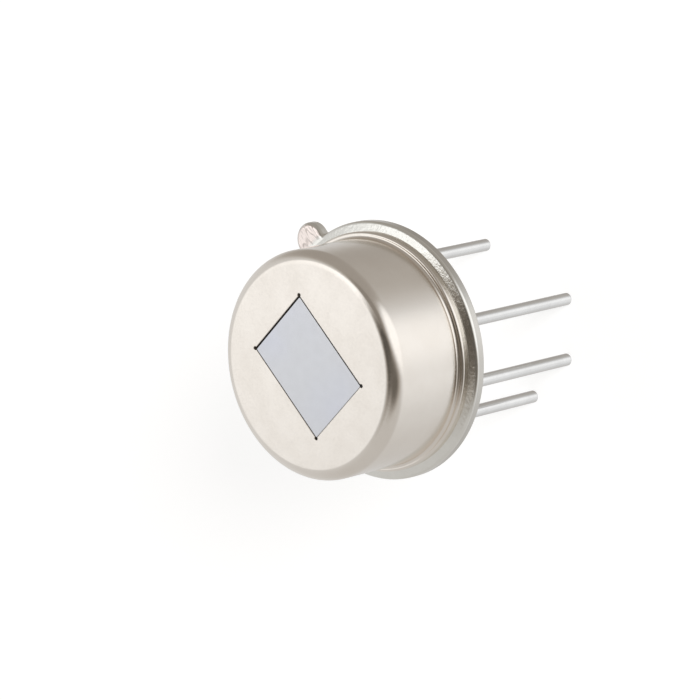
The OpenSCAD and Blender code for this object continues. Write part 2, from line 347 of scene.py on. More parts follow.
@dataclass(frozen=True)
class SatinPlate(Finish):
    """Satin nickel plate on stamped or drawn steel: faint mottling, fine grain and shallow pits."""

    metallic: float = 1.0
    mottle_scale: float = 0.9
    fine_scale: float = 9.0
    grain_scale: float = 38.0
    grain_mm: float = 0.0012
    texture_rough: float = 0.6
    wear: Span = (-0.04, 0.07)
    tones: Span = (0.3, 0.72)
    specks: Span = (0.45, 0.75)
    speck_share: float = 0.25
    pit_scale: float = 5.5
    pit_edge: Span = (0.03, 0.16)
    pit_mm: float = 0.0015
    pit_strength: float = 0.5
    line_stretch: Point = (14.0, 14.0, 0.5)
    draw_lines: float = 0.0

    def sockets(self, board: NodeBoard) -> dict[str, Value]:
        """Gives the plate's colour, roughness and relief.

        Args:
            board: The material's nodes.

        Returns:
            The value or link of each socket, by name.
        """
        place = board.place_mm()
        rough = self.texture_rough
        mottle = board.noise(place, self.mottle_scale, detail=5.0, rough=rough)
        fine = board.noise(place, self.fine_scale, detail=4.0, rough=rough)
        grain = board.noise(place, self.grain_scale, detail=3.0, rough=rough)
        pits = board.cells(place, self.pit_scale).band(*self.pit_edge)
        lines = board.noise(board.place_mm(self.line_stretch), scale=1.0, detail=3.0, rough=rough)
        relief = board.bump(fine * 0.5 + grain * 0.5 + lines * self.draw_lines, self.grain_mm)
        relief = board.bump(pits, self.pit_mm, self.pit_strength, relief)
        shade = mottle.band(*self.tones) * (1 - self.speck_share)
        shade = shade + fine.band(*self.specks) * self.speck_share
        return {
            "Base Color": board.blend(shade, self.colour, self.shade),
            "Roughness": self.worn(mottle * 0.5 + fine * 0.5, self.tones),
            "Normal": relief,
        }


@dataclass(frozen=True)
class StampedPlate(SatinPlate):
    """The stamped header's plate: painted shade on the rim's side, a weld-roughened flange and a warmer,
    creased tab.

    Starts, ends, tops and faces are radii and heights, in millimetres, over which an area starts or ends.
    The weld's spatter grows along +Y, and the tab's folds follow two spans of a steepened noise texture.
    """

    # Painted shade: a darker tone on the rim's side, standing in for the shade in its reflection
    rim_painted_shade: Colour = tone(0.66, 0.64, 0.60)
    rim_start: Span = (4.56, 4.59)
    rim_end: Span = (4.62, 4.66)
    rim_top: Span = (0.25, 0.31)
    tab_shade: Colour = tone(0.88, 0.79, 0.745)
    tab_start: Span = (4.55, 4.75)
    tab_face: Span = (0.36, 0.39)
    weld_start: Span = (4.24, 4.28)
    weld_end: Span = (4.5, 4.56)
    weld_face: Span = (0.34, 0.38)
    spatter_scale: float = 8.0
    spatter_along: Span = (0.5, 4.0)
    spatter_heights: Span = (0.2, 0.65)
    fold_stretch: Point = (0.7, 2.6, 1.0)
    fold_steepness: float = 6.0
    fold_rise: Span = (2.6, 3.4)
    fold_fall: Span = (3.0, 3.5)
    fold_drop: float = -0.8
    crease_mm: float = 0.02

    def sockets(self, board: NodeBoard) -> dict[str, Value]:
        """Gives the header's colour, roughness and relief.

        Args:
            board: The material's nodes.

        Returns:
            The value or link of each socket, by name.
        """
        sockets = super().sockets(board)
        across, along, height = board.split(board.place_mm())
        radius = (across * across + along * along).root()
        # The rim mask marks where painted shade darkens the rim's side
        rim = radius.band(*self.rim_start) * radius.fade(*self.rim_end) * height.fade(*self.rim_top)
        tab = radius.band(*self.tab_start) * height.band(*self.tab_face)
        weld = radius.band(*self.weld_start) * radius.fade(*self.weld_end) * height.band(*self.weld_face)
        spots = board.noise(board.place_mm(), self.spatter_scale, detail=3.0, rough=self.texture_rough)
        spatter = spots * weld * along.band(*self.spatter_along, *self.spatter_heights)
        folds = board.noise(board.place_mm(self.fold_stretch), scale=1.0, detail=2.0, rough=0.4)
        rise = (folds * self.fold_steepness).band(*self.fold_rise)
        creases = rise + (folds * self.fold_steepness).band(*self.fold_fall, 0.0, self.fold_drop)
        plate = board.blend(tab, sockets["Base Color"], self.tab_shade)
        # Painted shade: the rim's side takes the darker rim tone
        sockets["Base Color"] = board.blend(rim, plate, self.rim_painted_shade)
        sockets["Normal"] = board.bump(creases * tab + spatter, self.crease_mm, under=sockets["Normal"])
        return sockets


@dataclass(frozen=True)
class CoatedFilter(Finish):
    """Infrared filter: polished silicon under an interference coating, even and slightly blue."""

    metallic: float = 1.0
    mottle_scale: float = 0.35
    grain_scale: float = 3.0
    grain_mm: float = 0.0001
    wear: Span = (-0.01, 0.02)
    speck_scale: float = 1.6
    speck_edge: Span = (0.015, 0.03)
    speck_colour: Colour = tone(0.2, 0.2, 0.22)
    speck_share: float = 0.3

    def sockets(self, board: NodeBoard) -> dict[str, Value]:
        """Gives the coating's drift in colour and its few faint specks.

        Args:
            board: The material's nodes.

        Returns:
            The value or link of each socket, by name.
        """
        place = board.place_mm()
        drift = board.noise(place, self.mottle_scale, detail=2.0)
        haze = board.noise(place, self.grain_scale, detail=4.0)
        specks = board.cells(place, self.speck_scale).fade(*self.speck_edge) * self.speck_share
        coating = board.blend(drift.band(*MOST), self.colour, self.shade)
        return {
            "Base Color": board.blend(specks, coating, self.speck_colour),
            "Roughness": self.worn(haze, MOST),
            "Normal": board.bump(haze, self.grain_mm),
        }


@dataclass(frozen=True)
class GlossyGlass(Finish):
    """Dark fused glass with small bubbles under a smooth skin."""

    mottle_scale: float = 3.5
    grain_mm: float = 0.004
    wear: Span = (0.0, 0.1)
    bubble_scale: float = 9.0
    bubble_edge: Span = (0.05, 0.2)
    bubble_share: float = 0.2
    bubble_depth: float = 0.3
    index: float = 1.5
    skin: float = 0.6
    skin_roughness: float = 0.05

    def sockets(self, board: NodeBoard) -> dict[str, Value]:
        """Gives the glass its cloudiness and bubbles.

        Args:
            board: The material's nodes.

        Returns:
            The value or link of each socket, by name.
        """
        place = board.place_mm()
        cloud = board.noise(place, self.mottle_scale, detail=4.0)
        bubbles = board.cells(place, self.bubble_scale).fade(*self.bubble_edge)
        shade = cloud.band(*PATCHES) * (1 - self.bubble_share) + bubbles * self.bubble_share
        return {
            "Base Color": board.blend(shade, self.colour, self.shade),
            "Roughness": self.worn(cloud, MOST),
            "Normal": board.bump(cloud - bubbles * self.bubble_depth, self.grain_mm),
        }

    def constants(self) -> dict[str, Value]:
        """Returns the glass's own constants."""
        return {
            **super().constants(),
            "IOR": self.index,
            "Coat Weight": self.skin,
            "Coat Roughness": self.skin_roughness,
        }


class Combine(Enum):
    """How one solid is made out of two."""

    UNITE = "UNION"
    CUT = "DIFFERENCE"


class Slot(Enum):
    """The record's material slots, one for each kind of piece made here."""

    HEADER = "header_plate"
    CAN = "can_plate"
    LEAD = "lead_plate"
    FILTER = "filter"
    GLASS = "seal_glass"
    BRAZE = "braze"


CAN_PLATE = SatinPlate(
    "satin_can_plate", tone(0.90, 0.85, 0.79), tone(0.875, 0.82, 0.755), 0.15, draw_lines=0.35
)
HEADER_PLATE = StampedPlate(
    "satin_header_plate", tone(0.88, 0.87, 0.83), tone(0.83, 0.82, 0.775), 0.15, grain_mm=0.0024
)
LEAD_PLATE = SatinPlate(
    "smooth_lead_plate", tone(0.88, 0.88, 0.875), tone(0.80, 0.80, 0.795), 0.11, grain_mm=0.001
)
BRAZE_METAL = SatinPlate(
    "silver_braze", tone(0.78, 0.70, 0.52), tone(0.62, 0.52, 0.36), 0.32, grain_mm=0.004
)
FILTER_COATING = CoatedFilter("coated_filter", tone(0.68, 0.69, 0.72), tone(0.667, 0.682, 0.745), 0.2)
SEAL_GLASS = GlossyGlass("dark_seal_glass", tone(0.012, 0.02, 0.02), tone(0.03, 0.05, 0.045), 0.06)
WHITE_ALUMINA = Finish("white_alumina", tone(0.82, 0.8, 0.74), tone(0.74, 0.72, 0.66), 0.6)

INNER_FINISHES: dict[str, Finish] = {
    "filter_bond": Finish("cured_epoxy", tone(0.02, 0.018, 0.016), tone(0.035, 0.03, 0.026), 0.45),
    "circuit_board": Finish("green_laminate", tone(0.014, 0.12, 0.048), tone(0.02, 0.16, 0.07), 0.4),
    "board_solder": Finish("bright_solder", tone(0.62, 0.63, 0.65), tone(0.5, 0.5, 0.52), 0.25, 1.0),
    "signal_chip": Finish("polished_die", tone(0.05, 0.05, 0.07), tone(0.08, 0.075, 0.1), 0.12, 0.6),
    "bond_wires": Finish("gold_wire", tone(0.85, 0.6, 0.2), tone(0.75, 0.5, 0.16), 0.2, 1.0),
    "chip_resistor": Finish("coated_resistor", tone(0.012, 0.012, 0.014), tone(0.02, 0.02, 0.022), 0.35),
    "chip_capacitor": Finish("fired_capacitor", tone(0.38, 0.26, 0.15), tone(0.3, 0.2, 0.11), 0.5),
    "chip_terminals": Finish("tinned_terminal", tone(0.66, 0.66, 0.67), tone(0.55, 0.55, 0.56), 0.3, 1.0),
    "element_support_left": WHITE_ALUMINA,
    "element_support_right": WHITE_ALUMINA,
    "element_bonds": Finish("silver_epoxy", tone(0.4, 0.4, 0.42), tone(0.32, 0.32, 0.34), 0.55, 0.5),
    "pyro_element": Finish("ground_pyroceramic", tone(0.6, 0.5, 0.3), tone(0.52, 0.43, 0.25), 0.45),
    "element_electrodes": Finish(
        "dark_metal_film", tone(0.2, 0.2, 0.23), tone(0.16, 0.16, 0.19), 0.25, 1.0
    ),
}


# Mesh work


def put_in_scene(work: bmesh.types.BMesh, name: str, material: bpy.types.Material | None = None) -> Object:
    """Writes a bmesh to a new object in the scene, and frees it.

    Args:
        work: The bmesh.
        name: The name of the object and its mesh.
        material: Its material, if it has one.

    Returns:
        The object.
    """
    mesh = bpy.data.meshes.new(name)
    work.to_mesh(mesh)
    work.free()
    if material is not None:
        mesh.materials.append(material)
    made = bpy.data.objects.new(name, mesh)
    bpy.context.scene.collection.objects.link(made)
    return made


def worked_mesh(made: Object) -> bpy.types.Mesh:
    """Returns a new mesh, the object's with its modifiers applied."""
    bpy.context.view_layer.update()
    return bpy.data.meshes.new_from_object(made.evaluated_get(bpy.context.evaluated_depsgraph_get()))


class Workpiece:
    """A bmesh in millimetres that operators shape, and that becomes one finished object."""

    def __init__(self) -> None:
        """Starts an empty mesh."""
        self.bm = bmesh.new()

    def start(self, x: float, y: float, z: float) -> Vert:
        """Starts a half section in the XZ plane, or an outline at one height."""
        return self.bm.verts.new((x, y, z))

    def _pull(self, vert: Vert, place: Sequence[float]) -> Vert:
        """Extrudes a vertex to a place, and returns the new one."""
        made = bmesh.ops.extrude_vert_indiv(self.bm, verts=[vert])["verts"][0]
        made.co = place
        return made

    def _swing(self, vert: Vert, centre: Point, axis: Point, angle: float, steps: int) -> Vert:
        """Sweeps a vertex along an arc.

        Args:
            vert: Where the arc starts.
            centre: Its centre.
            axis: The axis that it turns round.
            angle: Its angle in radians.
            steps: Its number of edges.

        Returns:
            The last vertex.
        """
        made = bmesh.ops.spin(
            self.bm,
            geom=[vert],
            cent=centre,
            axis=axis,
            angle=angle,
            steps=steps,
            use_merge=False,
            use_duplicate=False,
        )
        return next(g for g in made["geom_last"] if isinstance(g, Vert))

    def run(self, vert: Vert, radius: float, z: float, guard: float = 0.0) -> Vert:
        """Draws a straight stretch of a section.

        Args:
            vert: Where it starts.
            radius: The radius where it ends.
            z: The height where it ends.
            guard: How far from both ends a point is added, so that the shading stays flat between.

        Returns:
            The last vertex.
        """
        begin, end = vert.co.copy(), Vector((radius, 0.0, z))
        length = (end - begin).length
        if guard and length > 3 * guard:
            vert = self._pull(vert, begin.lerp(end, guard / length))
            vert = self._pull(vert, begin.lerp(end, 1 - guard / length))
        return self._pull(vert, end)

    def turn(self, vert: Vert, centre: tuple[float, float], degrees: float, steps: int) -> Vert:
        """Draws an arc of a section.

        Args:
            vert: Where it starts.
            centre: The radius and the height of its centre.
            degrees: Its angle, positive from up to outwards to down.
            steps: Its number of edges.

        Returns:
            The last vertex.
        """
        middle = (centre[0], 0.0, centre[1])
        return self._swing(vert, middle, (0.0, 1.0, 0.0), math.radians(degrees), steps)

    def line(self, vert: Vert, x: float, y: float) -> Vert:
        """Draws a straight stretch of an outline, at the height of its start."""
        return self._pull(vert, (x, y, vert.co.z))

    def arc(self, vert: Vert, centre: tuple[float, float], angle: float, steps: int) -> Vert:
        """Draws an arc of an outline.

        Args:
            vert: Where the arc starts.
            centre: Its centre.
            angle: Its angle in radians, positive to the left.
            steps: Its number of edges.

        Returns:
            The last vertex.
        """
        return self._swing(vert, (*centre, vert.co.z), (0.0, 0.0, 1.0), angle, steps)

    def revolve(self, steps: int) -> None:
        """Spins all that has been drawn round the Z axis into a surface, and merges its doubles."""
        bmesh.ops.spin(
            self.bm,
            geom=self.bm.verts[:] + self.bm.edges[:],
            cent=(0.0, 0.0, 0.0),
            axis=(0.0, 0.0, 1.0),
            angle=FULL_TURN,
            steps=steps,
            use_merge=True,
            use_duplicate=False,
        )
        bmesh.ops.remove_doubles(self.bm, verts=self.bm.verts[:], dist=MERGE)

    def move(self, x: float, y: float, z: float) -> None:
        """Moves all that has been made."""
        bmesh.ops.translate(self.bm, vec=(x, y, z), verts=self.bm.verts[:])

    def rim(self, radius: float, z: float) -> list[Edge]:
        """Returns the open edges that lie on a circle round the Z axis."""
        return [
            edge
            for edge in self.bm.edges
            if len(edge.link_faces) < 2
            and all(abs(v.co.z - z) < NEAR and abs(v.co.xy.length - radius) < 2 * NEAR for v in edge.verts)
        ]

    def fill(self, edges: Sequence[Edge], facing: float) -> None:
        """Fills the flat area between loops.

        Args:
            edges: The edges of the loops.
            facing: 1 where the area faces up, -1 where it faces down.
        """
        bmesh.ops.triangle_fill(
            self.bm, use_beauty=True, use_dissolve=False, edges=edges, normal=(0.0, 0.0, facing)
        )

    @staticmethod
    def _face_along(face: Face, facing: float) -> None:
        """Flips a face where it doesn't look up, for a facing of 1, or down, for -1."""
        face.normal_update()
        if face.normal.z * facing < 0:
            face.normal_flip()

    def close(self, first: Vert, last: Vert) -> Face:
        """Closes an outline that touches nothing else, and fills it.

        Args:
            first: Its first vertex.
            last: Its last vertex.

        Returns:
            The face, which looks up.
        """
        if (first.co - last.co).length < MERGE:
            bmesh.ops.weld_verts(self.bm, targetmap={last: first})
        else:
            self.bm.edges.new((last, first))
        chain: list[Edge] = []
        front = [first]
        while front:
            fresh = [e for e in front.pop().link_edges if e not in chain]
            chain += fresh
            front += [v for e in fresh for v in e.verts]
        face = bmesh.ops.edgeloop_fill(self.bm, edges=chain)["faces"][0]
        self._face_along(face, 1.0)
        return face

    def step(self, face: Face, inset: float, depth: float) -> None:
        """Insets a face and moves it along its normal."""
        bmesh.ops.inset_individual(
            self.bm, faces=[face], thickness=inset, depth=depth, use_even_offset=True
        )

    def round_over(self, face: Face, radius: float, steps: int) -> None:
        """Rounds the edge of a face that stands one radius low.

        Args:
            face: The face.
            radius: The radius of the edge.
            steps: The number of rings.
        """
        for now, then in quarter_steps(steps):
            inset, rise = math.cos(now) - math.cos(then), math.sin(then) - math.sin(now)
            self.step(face, radius * inset, radius * rise)

    def thicken(
        self, face: Face, height: float, upper: float, lower: float, steps: int = 6, guard: float = 0.02
    ) -> None:
        """Makes a closed slab with rounded edges, from z = 0 up, out of its outline.

        Args:
            face: The outline's face, at z = 0.
            height: The slab's height.
            upper: The radius of the upper edge.
            lower: The radius of the lower edge.
            steps: The number of rings on each edge.
            guard: The width of the flat ring inside each edge, which keeps the shading flat.
        """
        bmesh.ops.translate(self.bm, vec=(0.0, 0.0, lower), verts=list(face.verts))
        made = bmesh.ops.extrude_face_region(self.bm, geom=[face], use_keep_orig=True)
        lifted = next(g for g in made["geom"] if isinstance(g, Face))
        bmesh.ops.translate(self.bm, vec=(0.0, 0.0, height - lower - upper), verts=list(lifted.verts))
        for side, facing, radius in ((lifted, 1.0, upper), (face, -1.0, lower)):
            self._face_along(side, facing)
            self.round_over(side, radius, steps)
            self.step(side, guard, 0.0)

    def _as_object(self, name: str) -> Object:
        """Turns the mesh into a plain object for a short time, and empties the workpiece."""
        bmesh.ops.recalc_face_normals(self.bm, faces=self.bm.faces[:])
        return put_in_scene(self.bm, name)

    def join(self, other: Workpiece, how: Combine) -> None:
        """Unites this closed solid with another one, or cuts the other one out of it.

        Args:
            other: The other solid, which is used up.
            how: Which of the two is done.
        """
        body, tool = self._as_object("body"), other._as_object("tool")
        modifier = body.modifiers.new("join", "BOOLEAN")
        modifier.operation = how.value
        modifier.solver = "MANIFOLD"
        modifier.object = tool
        joined = worked_mesh(body)
        self.bm = bmesh.new()
        self.bm.from_mesh(joined)
        for made in (body, tool):
            mesh = made.data
            bpy.data.objects.remove(made)
            bpy.data.meshes.remove(mesh)
        bpy.data.meshes.remove(joined)

    def finish(
        self, name: str, slot: Slot, finish: Finish, nodes: Iterable[str], crease: float = 35.0
    ) -> Object:
        """Turns the mesh into a dressed object that stands for CAD nodes.

        Args:
            name: The piece's name.
            slot: Not used.
            finish: Its finish.
            nodes: The CAD nodes that it stands for.
            crease: The angle in degrees above which an edge is sharp.

        Returns:
            The object.
        """
        bmesh.ops.recalc_face_normals(self.bm, faces=self.bm.faces[:])
        for face in self.bm.faces:
            face.smooth = True
        for edge in self.bm.edges:
            edge.smooth = edge.calc_face_angle(0.0) < math.radians(crease)
        bmesh.ops.scale(self.bm, vec=(MM, MM, MM), verts=self.bm.verts[:])
        made = put_in_scene(self.bm, name, finish.material())
        self._weigh(made)
        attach(made, "root")
        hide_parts(*nodes)
        LOG.info("%s: %d faces, stands for %s", name, len(made.data.polygons), ", ".join(nodes))
        return made

    @staticmethod
    def _weigh(made: Object) -> None:
        """Lets large faces set the shading at their edges, so that flats look flat beside rounded edges."""
        modifier = made.modifiers.new("face_weight", "WEIGHTED_NORMAL")
        modifier.mode = "FACE_AREA"
        modifier.keep_sharp = True
        plain = made.data
        made.data = worked_mesh(made)
        made.data.name = plain.name
        made.modifiers.clear()
        bpy.data.meshes.remove(plain)


# Sub-assemblies


@dataclass
class LeadCircle:
    """Where the leads stand, in degrees from +X, by lead number."""

    radius: float = 2.9
    turns: dict[int, float] = field(
        default_factory=lambda: {1: 202.5, 2: 247.5, 3: 337.5, 4: 22.5, 5: 67.5, 6: 157.5}
    )
    earth: int = 2

    def spot(self, number: int) -> tuple[float, float]:
        """Returns the X and Y of a lead."""
        return place_on_circle(self.radius, self.turns[number])


@dataclass
class Can:
    """The drawn can with its rounded shoulder, weld flange and window opening, and the filter in it."""

    radius: float = 4.05
    height: float = 4.0
    wall: float = 0.25
    shoulder: float = 0.45
    foot_z: float = 0.45
    flange_radius: float = 4.26
    flange_z: float = 0.73
    flange_round: float = 0.08
    foot_round: float = 0.02
    foot_fillet: float = 0.1
    mouth_round: float = 0.08
    window: tuple[float, float] = (4.0, 3.0)
    window_relief: float = 0.065
    window_edge: float = 0.02
    filter_size: tuple[float, float] = (3.92, 2.93)
    filter_shift: tuple[float, float] = (0.02, -0.02)
    filter_z: tuple[float, float] = (3.47, 3.97)
    filter_corner: float = 0.03
    filter_edge: float = 0.006
    guard: float = 0.03
    steps: int = 240
    shoulder_steps: int = 24
    inner_steps: int = 10
    fillet_steps: int = 8
    edge_steps: int = 6
    foot_steps: int = 4
    relief_steps: int = 18
    window_rings: int = 3

    def shell(self) -> Object:
        """Builds the can.

        Returns:
            The object.
        """
        work = Workpiece()
        inner = self.radius - self.wall
        neck = self.radius - self.shoulder
        inner_neck = inner - (self.shoulder - self.wall)
        shoulder_z = self.height - self.shoulder
        ceiling = self.height - self.wall
        fillet = (self.radius + self.foot_fillet, self.flange_z + self.foot_fillet)
        brim = (self.flange_radius - self.flange_round, self.flange_z - self.flange_round)
        foot = (self.flange_radius - self.foot_round, self.foot_z + self.foot_round)
        mouth = (inner + self.mouth_round, self.foot_z + self.mouth_round)
        vert = work.start(neck - self.guard, 0.0, self.height)
        vert = work.run(vert, neck, self.height)
        vert = work.turn(vert, (neck, shoulder_z), 90, self.shoulder_steps)
        vert = work.run(vert, self.radius, fillet[1], self.guard)
        vert = work.turn(vert, fillet, -90, self.fillet_steps)
        vert = work.run(vert, brim[0], self.flange_z, self.guard / 4)
        vert = work.turn(vert, brim, 90, self.edge_steps)
        vert = work.run(vert, self.flange_radius, foot[1], self.guard / 2)
        vert = work.turn(vert, foot, 90, self.foot_steps)
        vert = work.run(vert, mouth[0], self.foot_z, self.guard)
        vert = work.turn(vert, mouth, 90, self.edge_steps)
        vert = work.run(vert, inner, shoulder_z, self.guard)
        vert = work.turn(vert, (inner_neck, shoulder_z), -90, self.inner_steps)
        work.run(vert, inner_neck - self.guard, ceiling)
        work.revolve(self.steps)
        self._cut_window(work, neck - self.guard, inner_neck - self.guard, ceiling)
        return work.finish("drawn_can", Slot.CAN, CAN_PLATE, ["cap"])

    def _cut_window(
        self, work: Workpiece, face_radius: float, ceiling_radius: float, ceiling: float
    ) -> None:
        """Closes the can's face and ceiling round a rectangular opening with a broken edge.

        Args:
            work: The can so far.
            face_radius: The radius of the open rim at the face.
            ceiling_radius: The radius of the open rim at the ceiling.
            ceiling: The ceiling's height.
        """
        edge = self.window_edge
        reach = self.window_relief + edge
        lean = math.asin(edge / reach)
        half_x, half_y = self.window[0] / 2, self.window[1] / 2
        along = math.sqrt(reach**2 - edge**2)
        sides = ((-along, -edge), (edge, -along), (along, edge), (-edge, along))
        first = vert = work.start(along - half_x, -half_y - edge, self.height)
        for (x, y), (side_x, side_y) in zip(CORNERS, sides):
            corner = (x * half_x, y * half_y)
            vert = work.line(vert, corner[0] + side_x, corner[1] + side_y)
            vert = work.arc(vert, corner, 3 * QUARTER - 2 * lean, self.relief_steps)
        face = work.close(first, vert)
        top = list(face.edges)
        for now, then in quarter_steps(self.window_rings):
            inset, fall = math.sin(then) - math.sin(now), math.cos(now) - math.cos(then)
            work.step(face, edge * inset, -edge * fall)
        work.step(face, 0.0, -(self.height - edge - ceiling))
        bottom = list(face.edges)
        bmesh.ops.delete(work.bm, geom=[face], context="FACES_ONLY")
        work.fill(top + work.rim(face_radius, self.height), 1)
        work.fill(bottom + work.rim(ceiling_radius, ceiling), -1)

    def filter(self) -> Object:
        """Builds the filter.

        Returns:
            The object.
        """
        work = Workpiece()
        low, high = self.filter_z
        half_x, half_y = self.filter_size[0] / 2, self.filter_size[1] / 2
        cut = self.filter_corner
        first = vert = work.start(cut - half_x, -half_y, 0.0)
        for k, (x, y) in enumerate(CORNERS):
            cuts = ((-cut * x, 0.0), (0.0, -cut * y))
            for cut_x, cut_y in cuts if k % 2 == 0 else reversed(cuts):
                vert = work.line(vert, x * half_x + cut_x, y * half_y + cut_y)
        work.thicken(work.close(first, vert), high - low, self.filter_edge, self.filter_edge)
        work.move(*self.filter_shift, low)
        return work.finish("infrared_filter", Slot.FILTER, FILTER_COATING, ["filter_window"])


@dataclass
class Header:
    """The stamped header: flange with its index tab, platform, and the holes of the seals.

    The flange is level from the platform to the weld radius, and then falls by some degrees to the rim.
    """

    radius: float = 4.6
    thickness: float = 0.45
    upper_round: float = 0.1
    lower_round: float = 0.04
    weld_radius: float = 4.26
    fall: float = 13.0
    platform_radius: float = 3.74
    platform_z: float = 1.07
    platform_chamfer: float = 0.1
    tab_width: float = 1.28
    tab_reach: float = 0.84
    tab_turn: float = 176.5
    tab_fillet: float = 0.1
    tab_z: float = 0.4
    tab_round: float = 0.16
    tab_root: float = 4.1
    tab_sink: float = 0.003
    tab_spread: float = 6.0
    seal_radius: float = 0.58
    braze_radius: float = 0.385
    guard: float = 0.03
    crease: float = 10.0
    steps: int = 240
    lower_steps: int = 12
    upper_steps: int = 11
    tab_end_steps: int = 36
    tab_fillet_steps: int = 14
    tab_root_steps: int = 2
    tab_rings: int = 12
    bore_steps: int = 64
    leads: LeadCircle = field(default_factory=LeadCircle)

    def _disc(self) -> Workpiece:
        """Builds the flange and the platform as one closed solid of revolution."""
        work = Workpiece()
        low, high, rim = self.lower_round, self.upper_round, self.radius
        lean = math.radians(self.fall)
        drop = math.tan(lean) * (rim - high - self.weld_radius)
        shoulder_z = self.thickness - drop - high / math.cos(lean)
        vert = work.start(0.0, 0.0, 0.0)
        vert = work.run(vert, rim - low, 0.0, self.guard)
        vert = work.turn(vert, (rim - low, low), -90, self.lower_steps)
        vert = work.run(vert, rim, shoulder_z, self.guard)
        vert = work.turn(vert, (rim - high, shoulder_z), self.fall - 90, self.upper_steps)
        vert = work.run(vert, self.weld_radius, self.thickness, self.guard)
        vert = work.run(vert, self.platform_radius, self.thickness, self.guard)
        vert = work.run(vert, self.platform_radius, self.platform_z - self.platform_chamfer, self.guard)
        vert = work.run(vert, self.platform_radius - self.platform_chamfer, self.platform_z)
        work.run(vert, 0.0, self.platform_z, self.guard)
        work.revolve(self.steps)
        return work

    def _tab(self) -> Workpiece:
        """Builds the index tab and its two fillets as one closed solid that reaches into the flange."""
        work = Workpiece()
        half = self.tab_width / 2
        seat = self.radius - self.tab_sink
        neck_y = half + self.tab_fillet
        neck_x = math.sqrt((seat + self.tab_fillet) ** 2 - neck_y**2)
        neck_turn = math.atan2(neck_y, neck_x)
        end_x = self.radius + self.tab_reach - half
        spread = math.radians(self.tab_spread)
        far = math.degrees(neck_turn) + self.tab_spread
        first = vert = work.start(end_x, -half, 0.0)
        vert = work.arc(vert, (end_x, 0.0), math.pi, self.tab_end_steps)
        vert = work.line(vert, neck_x, half)
        vert = work.arc(vert, (neck_x, neck_y), neck_turn - QUARTER, self.tab_fillet_steps)
        vert = work.arc(vert, (0.0, 0.0), spread, self.tab_root_steps)
        vert = work.line(vert, *place_on_circle(self.tab_root, far))
        vert = work.line(vert, *place_on_circle(self.tab_root, -far))
        vert = work.line(vert, *place_on_circle(seat, -far))
        vert = work.arc(vert, (0.0, 0.0), spread, self.tab_root_steps)
        vert = work.arc(vert, (neck_x, -neck_y), neck_turn - QUARTER, self.tab_fillet_steps)
        work.thicken(work.close(first, vert), self.tab_z, self.tab_round, self.lower_round, self.tab_rings)
        bmesh.ops.rotate(
            work.bm,
            cent=(0.0, 0.0, 0.0),
            matrix=Matrix.Rotation(math.radians(self.tab_turn), 3, "Z"),
            verts=work.bm.verts[:],
        )
        return work

    def _bores(self) -> Workpiece:
        """Builds the six cylinders that are cut out for the seals."""
        work = Workpiece()
        for number in self.leads.turns:
            radius = self.braze_radius if number == self.leads.earth else self.seal_radius
            bmesh.ops.create_cone(
                work.bm,
                cap_ends=True,
                segments=self.bore_steps,
                radius1=radius,
                radius2=radius,
                depth=2 * self.platform_z,
                matrix=Matrix.Translation((*self.leads.spot(number), self.platform_z / 2)),
            )
        return work

    def plate(self) -> Object:
        """Builds the header.

        Returns:
            The object.
        """
        work = self._disc()
        work.join(self._tab(), Combine.UNITE)
        work.join(self._bores(), Combine.CUT)
        return work.finish("stamped_header", Slot.HEADER, HEADER_PLATE, ["header"], self.crease)


